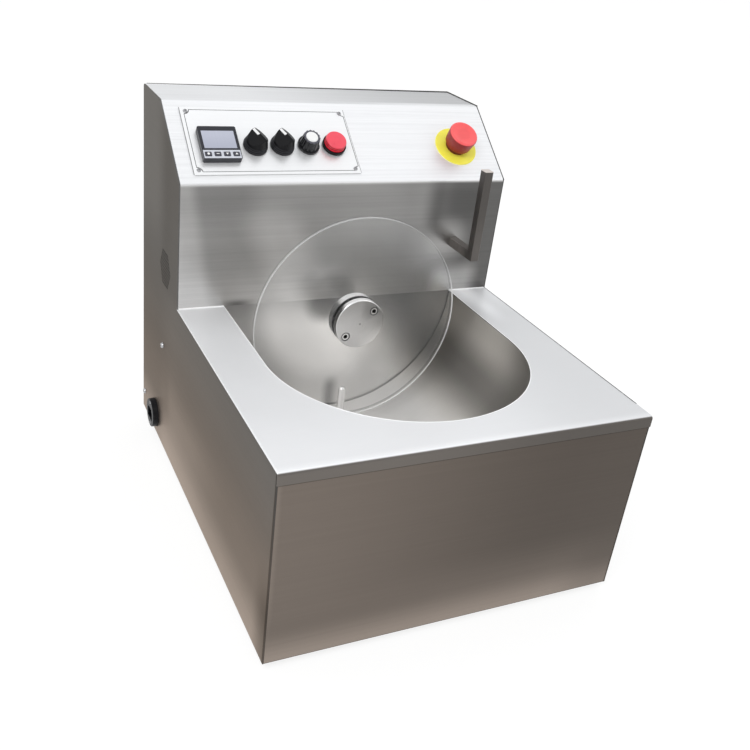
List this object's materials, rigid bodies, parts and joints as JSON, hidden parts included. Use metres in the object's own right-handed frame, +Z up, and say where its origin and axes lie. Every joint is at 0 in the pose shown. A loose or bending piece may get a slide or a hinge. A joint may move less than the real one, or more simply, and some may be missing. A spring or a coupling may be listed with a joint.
{
  "type": "chocolate melting tank",
  "caption": "Steel chocolate melting tank with a heated bowl in its deck, a clear driven wheel on a hub, a scraper holder and a slanted control tower with selectors and a stop button.",
  "frame": {"origin": "on the table under the middle of the cabinet", "axes": "+Z up, +Y from the front to the back, +X to the right seen from the front"},
  "size_m": [0.4602, 0.565, 0.487],
  "materials": {
    "sheet_steel": "brushed",
    "bowl_steel": "satin",
    "zinc_sheet": "zinc plated",
    "plate_steel": "fine brushed",
    "hub_steel": "turned",
    "screw_steel": "bright",
    "clear_plastic": "clear, polished edge",
    "foot_rubber": "matt",
    "black_plastic": "fine grain",
    "display_glass": "gloss",
    "key_silver": "satin",
    "key_grey": "satin",
    "contact_plastic": "moulded",
    "cap_white": "satin",
    "lamp_red": "gloss",
    "stop_red": "semi-gloss",
    "stop_yellow": "semi-gloss",
    "cast_alloy": "as cast",
    "brass": "turned",
    "heater_silicone": "matt",
    "terminal_ivory": "moulded"
  },
  "bodies": {
    "cabinet": {"side_panel_left": "sheet_steel", "side_panel_right": "sheet_steel", "front_panel": "sheet_steel", "deck_pan": "sheet_steel", "tower_sheet": "sheet_steel", "rear_cover": "sheet_steel", "base_plate": "sheet_steel", "scraper_holder": "sheet_steel", "tank_bowl": "bowl_steel", "electrics_tray": "zinc_sheet", "control_plate": "plate_steel", "temp_probe": "hub_steel", "foot_screws": "screw_steel", "case_screws": "screw_steel", "plate_screws": "screw_steel", "housing_screws": "screw_steel", "inlet_screws": "screw_steel", "panel_nuts": "screw_steel", "feet": "foot_rubber", "shaft_seal": "foot_rubber", "controller_case": "black_plastic", "controller_clip": "black_plastic", "selector_bezels": "black_plastic", "lamp_base": "black_plastic", "stop_collar": "black_plastic", "fan_frame": "black_plastic", "mains_inlet": "black_plastic", "display_window": "display_glass", "key_strip": "key_silver", "selector_blocks": "contact_plastic", "stop_block": "contact_plastic", "speed_pot": "contact_plastic", "heater_relay": "contact_plastic", "lamp_lens": "lamp_red", "stop_ring": "stop_yellow", "bearing_housing": "cast_alloy", "gearbox": "cast_alloy", "gear_motor": "cast_alloy", "speed_driver": "cast_alloy", "shaft_bush": "brass", "probe_gland": "brass", "inlet_pins": "brass", "heater_mat": "heater_silicone", "terminal_block": "terminal_ivory"},
    "wheel": {"wheel_disc": "clear_plastic", "hub_flange": "hub_steel", "clamp_plate": "hub_steel", "clamp_screws": "screw_steel", "drive_shaft": "hub_steel"},
    "selector_1": {"selector_knob_1": "black_plastic"},
    "selector_2": {"selector_knob_2": "black_plastic"},
    "speed_control": {"speed_knob": "black_plastic", "speed_cap": "cap_white"},
    "stop_plunger": {"stop_plunger": "contact_plastic"},
    "stop_head": {"stop_head": "stop_red"},
    "key_1": {"key_1": "key_grey"},
    "key_2": {"key_2": "key_grey"},
    "key_3": {"key_3": "key_grey"},
    "key_4": {"key_4": "key_grey"},
    "fan_rotor": {"fan_rotor": "black_plastic"}
  },
  "joints": [
    {"name": "wheel_spin", "type": "hinge", "parent": "cabinet", "child": "wheel", "pos_m": [0, 0.0465, 0.24], "axis": [0, 1, 0], "continuous": true},
    {"name": "selector_1_turn", "type": "hinge", "parent": "cabinet", "child": "selector_1", "pos_m": [-0.12, 0.13773, 0.44419], "axis": [0, -0.6089, 0.7932], "range_deg": [-60, 0]},
    {"name": "selector_2_turn", "type": "hinge", "parent": "cabinet", "child": "selector_2", "pos_m": [-0.085, 0.13773, 0.44419], "axis": [0, -0.6089, 0.7932], "range_deg": [-60, 0]},
    {"name": "speed_turn", "type": "hinge", "parent": "cabinet", "child": "speed_control", "pos_m": [-0.05, 0.13773, 0.44419], "axis": [0, -0.6089, 0.7932], "range_deg": [-150, 150]},
    {"name": "stop_push", "type": "slide", "parent": "cabinet", "child": "stop_plunger", "axis": [0, 0.6089, -0.7932], "range_m": [0, 0.005]},
    {"name": "stop_twist", "type": "hinge", "parent": "stop_plunger", "child": "stop_head", "pos_m": [0.166, 0.13773, 0.44419], "axis": [0, -0.6089, 0.7932], "range_deg": [-45, 0], "stiffness_Nm_per_rad": 0.05},
    {"name": "key_1_press", "type": "slide", "parent": "cabinet", "child": "key_1", "axis": [0, 0.6089, -0.7932], "range_m": [0, 0.0006], "stiffness_N_per_m": 400},
    {"name": "key_2_press", "type": "slide", "parent": "cabinet", "child": "key_2", "axis": [0, 0.6089, -0.7932], "range_m": [0, 0.0006], "stiffness_N_per_m": 400},
    {"name": "key_3_press", "type": "slide", "parent": "cabinet", "child": "key_3", "axis": [0, 0.6089, -0.7932], "range_m": [0, 0.0006], "stiffness_N_per_m": 400},
    {"name": "key_4_press", "type": "slide", "parent": "cabinet", "child": "key_4", "axis": [0, 0.6089, -0.7932], "range_m": [0, 0.0006], "stiffness_N_per_m": 400},
    {"name": "fan_spin", "type": "hinge", "parent": "cabinet", "child": "fan_rotor", "pos_m": [-0.2235, 0.1575, 0.28], "axis": [-1, 0, 0], "continuous": true}
  ]
}
